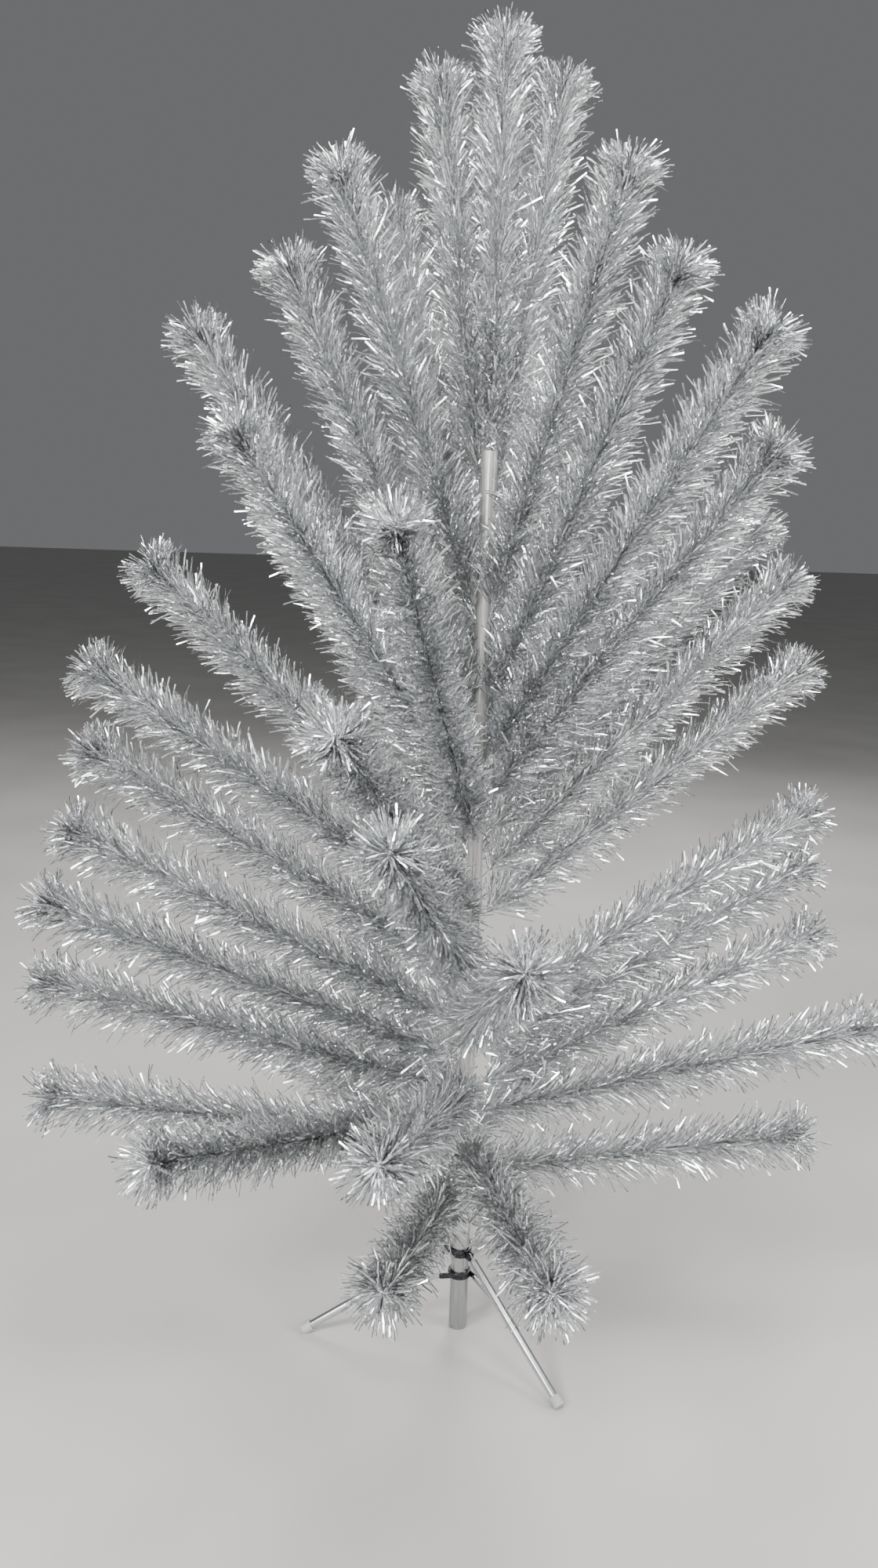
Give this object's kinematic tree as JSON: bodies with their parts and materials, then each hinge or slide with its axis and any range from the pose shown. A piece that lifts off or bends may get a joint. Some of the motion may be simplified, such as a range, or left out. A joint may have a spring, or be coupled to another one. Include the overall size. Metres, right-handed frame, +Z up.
{
  "type": "artificial foil tree",
  "caption": "Silver foil tree: slit-foil branches on wire shanks push into a drilled two-part pole, which stands in the tube of a folding braced tripod.",
  "frame": {"origin": "centre of the stand tube's closed bottom, on the floor and on the pole's axis", "axes": "+Z up along the pole; the picture's view looks roughly along +Y, with +X to its right"},
  "size_m": [1.2515, 1.2499, 1.8303],
  "materials": {
    "foil": "polished",
    "painted_wood": "satin",
    "zinc_steel": "satin",
    "dark_steel": "satin",
    "aluminium_bar": "satin",
    "grey_vinyl": "matte"
  },
  "bodies": {
    "stand": {"stand_tube": "zinc_steel", "leg_hub": "dark_steel"},
    "leg_1": {"leg_1": "aluminium_bar", "foot_cap_1": "grey_vinyl"},
    "leg_2": {"leg_2": "aluminium_bar", "foot_cap_2": "grey_vinyl"},
    "leg_3": {"leg_3": "aluminium_bar", "foot_cap_3": "grey_vinyl"},
    "collar": {"brace_collar": "dark_steel"},
    "brace_1": {"brace_1": "aluminium_bar"},
    "brace_2": {"brace_2": "aluminium_bar"},
    "brace_3": {"brace_3": "aluminium_bar"},
    "pole_low": {"pole_lower": "painted_wood", "pole_sleeve": "zinc_steel"},
    "pole_high": {"pole_upper": "painted_wood"},
    "branch_01_a": {"branch_01_a": "foil"},
    "branch_01_b": {"branch_01_b": "foil"},
    "branch_01_c": {"branch_01_c": "foil"},
    "branch_02_a": {"branch_02_a": "foil"},
    "branch_02_b": {"branch_02_b": "foil"},
    "branch_02_c": {"branch_02_c": "foil"},
    "branch_03_a": {"branch_03_a": "foil"},
    "branch_03_b": {"branch_03_b": "foil"},
    "branch_03_c": {"branch_03_c": "foil"},
    "branch_04_a": {"branch_04_a": "foil"},
    "branch_04_b": {"branch_04_b": "foil"},
    "branch_04_c": {"branch_04_c": "foil"},
    "branch_05_a": {"branch_05_a": "foil"},
    "branch_05_b": {"branch_05_b": "foil"},
    "branch_05_c": {"branch_05_c": "foil"},
    "branch_06_a": {"branch_06_a": "foil"},
    "branch_06_b": {"branch_06_b": "foil"},
    "branch_06_c": {"branch_06_c": "foil"},
    "branch_07_a": {"branch_07_a": "foil"},
    "branch_07_b": {"branch_07_b": "foil"},
    "branch_07_c": {"branch_07_c": "foil"},
    "branch_08_a": {"branch_08_a": "foil"},
    "branch_08_b": {"branch_08_b": "foil"},
    "branch_08_c": {"branch_08_c": "foil"},
    "branch_09_a": {"branch_09_a": "foil"},
    "branch_09_b": {"branch_09_b": "foil"},
    "branch_09_c": {"branch_09_c": "foil"},
    "branch_10_a": {"branch_10_a": "foil"},
    "branch_10_b": {"branch_10_b": "foil"},
    "branch_10_c": {"branch_10_c": "foil"},
    "branch_11_a": {"branch_11_a": "foil"},
    "branch_11_b": {"branch_11_b": "foil"},
    "branch_11_c": {"branch_11_c": "foil"},
    "branch_12_a": {"branch_12_a": "foil"},
    "branch_12_b": {"branch_12_b": "foil"},
    "branch_12_c": {"branch_12_c": "foil"},
    "branch_13_a": {"branch_13_a": "foil"},
    "branch_13_b": {"branch_13_b": "foil"},
    "branch_13_c": {"branch_13_c": "foil"},
    "branch_14_a": {"branch_14_a": "foil"},
    "branch_14_b": {"branch_14_b": "foil"},
    "branch_14_c": {"branch_14_c": "foil"},
    "branch_15_a": {"branch_15_a": "foil"},
    "branch_15_b": {"branch_15_b": "foil"},
    "branch_top": {"branch_top": "foil"}
  },
  "joints": [
    {"name": "fold_legs", "type": "hinge", "parent": "stand", "child": "leg_1", "pos_m": [0.01435, -0.01904, 0.128], "axis": [0.7986, 0.6018, 0], "range_deg": [0, 50]},
    {"name": "fold_leg_2", "type": "hinge", "parent": "stand", "child": "leg_2", "pos_m": [-0.02366, -0.00291, 0.128], "axis": [0.1219, -0.9925, 0], "range_deg": [-0.5, 50.5]},
    {"name": "fold_leg_3", "type": "hinge", "parent": "stand", "child": "leg_3", "pos_m": [0.00932, 0.02194, 0.128], "axis": [-0.9205, 0.3907, 0], "range_deg": [-0.5, 50.5]},
    {"name": "collar_slide", "type": "slide", "parent": "stand", "child": "collar", "axis": [0, 0, 1], "range_m": [-0.0002, 0.0204]},
    {"name": "brace_1_swing", "type": "hinge", "parent": "collar", "child": "brace_1", "pos_m": [0.01625, -0.02156, 0.091], "axis": [0.7986, 0.6018, 0], "range_deg": [-0.5, 67.1]},
    {"name": "brace_2_swing", "type": "hinge", "parent": "collar", "child": "brace_2", "pos_m": [-0.0268, -0.00329, 0.091], "axis": [0.1219, -0.9925, 0], "range_deg": [-0.5, 67.1]},
    {"name": "brace_3_swing", "type": "hinge", "parent": "collar", "child": "brace_3", "pos_m": [0.01055, 0.02485, 0.091], "axis": [-0.9205, 0.3907, 0], "range_deg": [-0.5, 67.1]},
    {"name": "lift_tree", "type": "slide", "parent": "stand", "child": "pole_low", "axis": [0, 0, 1], "range_m": [0, 0.223]},
    {"name": "lift_top", "type": "slide", "parent": "pole_low", "child": "pole_high", "axis": [0, 0, 1], "range_m": [0, 0.022]},
    {"name": "pull_branch_01_a", "type": "slide", "parent": "pole_low", "child": "branch_01_a", "axis": [-0.2041, -0.9602, 0.1908], "range_m": [0, 0.0076]},
    {"name": "pull_branch_01_b", "type": "slide", "parent": "pole_low", "child": "branch_01_b", "axis": [0.9779, -0.0856, 0.1908], "range_m": [0, 0.0076]},
    {"name": "pull_branch_01_c", "type": "slide", "parent": "pole_low", "child": "branch_01_c", "axis": [-0.752, 0.631, 0.1908], "range_m": [0, 0.0076]},
    {"name": "pull_branch_02_a", "type": "slide", "parent": "pole_low", "child": "branch_02_a", "axis": [-0.9448, -0.2532, 0.2079], "range_m": [0, 0.0077]},
    {"name": "pull_branch_02_b", "type": "slide", "parent": "pole_low", "child": "branch_02_b", "axis": [0.1361, -0.9686, 0.2079], "range_m": [0, 0.0077]},
    {"name": "pull_branch_02_c", "type": "slide", "parent": "pole_low", "child": "branch_02_c", "axis": [0.4891, 0.8471, 0.2079], "range_m": [0, 0.0077]},
    {"name": "pull_branch_03_a", "type": "slide", "parent": "pole_low", "child": "branch_03_a", "axis": [-0.6106, -0.7541, 0.2419], "range_m": [0, 0.0077]},
    {"name": "pull_branch_03_b", "type": "slide", "parent": "pole_low", "child": "branch_03_b", "axis": [0.9697, 0.0339, 0.2419], "range_m": [0, 0.0077]},
    {"name": "pull_branch_03_c", "type": "slide", "parent": "pole_low", "child": "branch_03_c", "axis": [-0.3635, 0.8996, 0.2419], "range_m": [0, 0.0077]},
    {"name": "pull_branch_04_a", "type": "slide", "parent": "pole_low", "child": "branch_04_a", "axis": [-0.9445, -0.1496, 0.2924], "range_m": [0, 0.0078]},
    {"name": "pull_branch_04_b", "type": "slide", "parent": "pole_low", "child": "branch_04_b", "axis": [-0.1661, -0.9418, 0.2924], "range_m": [0, 0.0078]},
    {"name": "pull_branch_04_c", "type": "slide", "parent": "pole_low", "child": "branch_04_c", "axis": [0.8867, 0.3582, 0.2924], "range_m": [0, 0.0078]},
    {"name": "pull_branch_05_a", "type": "slide", "parent": "pole_low", "child": "branch_05_a", "axis": [-0.9221, -0.0969, 0.3746], "range_m": [0, 0.0081]},
    {"name": "pull_branch_05_b", "type": "slide", "parent": "pole_low", "child": "branch_05_b", "axis": [0.8333, 0.4065, 0.3746], "range_m": [0, 0.0081]},
    {"name": "pull_branch_05_c", "type": "slide", "parent": "pole_low", "child": "branch_05_c", "axis": [-0.161, 0.9131, 0.3746], "range_m": [0, 0.0081]},
    {"name": "pull_branch_06_a", "type": "slide", "parent": "pole_low", "child": "branch_06_a", "axis": [-0.8888, -0.0622, 0.454], "range_m": [0, 0.0084]},
    {"name": "pull_branch_06_b", "type": "slide", "parent": "pole_low", "child": "branch_06_b", "axis": [0.8261, 0.3338, 0.454], "range_m": [0, 0.0084]},
    {"name": "pull_branch_06_c", "type": "slide", "parent": "pole_low", "child": "branch_06_c", "axis": [0.0622, -0.8888, 0.454], "range_m": [0, 0.0084]},
    {"name": "pull_branch_07_a", "type": "slide", "parent": "pole_low", "child": "branch_07_a", "axis": [-0.8551, -0.0598, 0.515], "range_m": [0, 0.0087]},
    {"name": "pull_branch_07_b", "type": "slide", "parent": "pole_low", "child": "branch_07_b", "axis": [-0.1636, -0.8414, 0.515], "range_m": [0, 0.0087]},
    {"name": "pull_branch_07_c", "type": "slide", "parent": "pole_low", "child": "branch_07_c", "axis": [-0.4542, 0.7269, 0.515], "range_m": [0, 0.0087]},
    {"name": "pull_branch_08_a", "type": "slide", "parent": "pole_low", "child": "branch_08_a", "axis": [-0.8245, -0.0867, 0.5592], "range_m": [0, 0.009]},
    {"name": "pull_branch_08_b", "type": "slide", "parent": "pole_low", "child": "branch_08_b", "axis": [0.7687, 0.3106, 0.5592], "range_m": [0, 0.009]},
    {"name": "pull_branch_08_c", "type": "slide", "parent": "pole_low", "child": "branch_08_c", "axis": [-0.2562, -0.7885, 0.5592], "range_m": [0, 0.009]},
    {"name": "pull_branch_09_a", "type": "slide", "parent": "pole_high", "child": "branch_09_a", "axis": [-0.7189, -0.0251, 0.6947], "range_m": [0, 0.0104]},
    {"name": "pull_branch_09_b", "type": "slide", "parent": "pole_high", "child": "branch_09_b", "axis": [0.698, 0.174, 0.6947], "range_m": [0, 0.0104]},
    {"name": "pull_branch_09_c", "type": "slide", "parent": "pole_high", "child": "branch_09_c", "axis": [-0.0752, 0.7154, 0.6947], "range_m": [0, 0.0104]},
    {"name": "pull_branch_10_a", "type": "slide", "parent": "pole_high", "child": "branch_10_a", "axis": [0.6409, 0.2333, 0.7314], "range_m": [0, 0.011]},
    {"name": "pull_branch_10_b", "type": "slide", "parent": "pole_high", "child": "branch_10_b", "axis": [-0.5224, 0.4384, 0.7314], "range_m": [0, 0.011]},
    {"name": "pull_branch_10_c", "type": "slide", "parent": "pole_high", "child": "branch_10_c", "axis": [-0.1765, -0.6588, 0.7314], "range_m": [0, 0.011]},
    {"name": "pull_branch_11_a", "type": "slide", "parent": "pole_high", "child": "branch_11_a", "axis": [-0.4869, -0.3537, 0.7986], "range_m": [0, 0.0125]},
    {"name": "pull_branch_11_b", "type": "slide", "parent": "pole_high", "child": "branch_11_b", "axis": [0.5498, -0.2448, 0.7986], "range_m": [0, 0.0125]},
    {"name": "pull_branch_11_c", "type": "slide", "parent": "pole_high", "child": "branch_11_c", "axis": [0, 0.6018, 0.7986], "range_m": [0, 0.0125]},
    {"name": "pull_branch_12_a", "type": "slide", "parent": "pole_high", "child": "branch_12_a", "axis": [-0.5578, -0.039, 0.829], "range_m": [0, 0.0134]},
    {"name": "pull_branch_12_b", "type": "slide", "parent": "pole_high", "child": "branch_12_b", "axis": [0.4466, -0.3365, 0.829], "range_m": [0, 0.0134]},
    {"name": "pull_branch_12_c", "type": "slide", "parent": "pole_high", "child": "branch_12_c", "axis": [0.0971, 0.5507, 0.829], "range_m": [0, 0.0134]},
    {"name": "pull_branch_13_a", "type": "slide", "parent": "pole_high", "child": "branch_13_a", "axis": [-0.4019, -0.1306, 0.9063], "range_m": [0, 0.0177]},
    {"name": "pull_branch_13_b", "type": "slide", "parent": "pole_high", "child": "branch_13_b", "axis": [0.3237, -0.2717, 0.9063], "range_m": [0, 0.0177]},
    {"name": "pull_branch_13_c", "type": "slide", "parent": "pole_high", "child": "branch_13_c", "axis": [-0.0147, 0.4224, 0.9063], "range_m": [0, 0.0177]},
    {"name": "pull_branch_14_a", "type": "slide", "parent": "pole_high", "child": "branch_14_a", "axis": [-0.3221, -0.1571, 0.9336], "range_m": [0, 0.0209]},
    {"name": "pull_branch_14_b", "type": "slide", "parent": "pole_high", "child": "branch_14_b", "axis": [0.2398, -0.2663, 0.9336], "range_m": [0, 0.0209]},
    {"name": "pull_branch_14_c", "type": "slide", "parent": "pole_high", "child": "branch_14_c", "axis": [-0.2304, 0.2745, 0.9336], "range_m": [0, 0.0209]},
    {"name": "pull_branch_15_a", "type": "slide", "parent": "pole_high", "child": "branch_15_a", "axis": [-0.1344, 0.036, 0.9903], "range_m": [0, 0.0539]},
    {"name": "pull_branch_15_b", "type": "slide", "parent": "pole_high", "child": "branch_15_b", "axis": [0.1308, 0.0476, 0.9903], "range_m": [0, 0.0539]},
    {"name": "pull_branch_top", "type": "slide", "parent": "pole_high", "child": "branch_top", "axis": [0, 0, 1], "range_m": [0, 0.028]}
  ],
  "couplings": [
    {"joint": "fold_leg_2", "follows": "fold_legs", "ratio": 1},
    {"joint": "fold_leg_3", "follows": "fold_legs", "ratio": 1},
    {"joint": "collar_slide", "follows": "fold_legs", "m_per_rad": 0.023058},
    {"joint": "brace_1_swing", "follows": "fold_legs", "ratio": 1.3296},
    {"joint": "brace_2_swing", "follows": "fold_legs", "ratio": 1.3296},
    {"joint": "brace_3_swing", "follows": "fold_legs", "ratio": 1.3296}
  ]
}
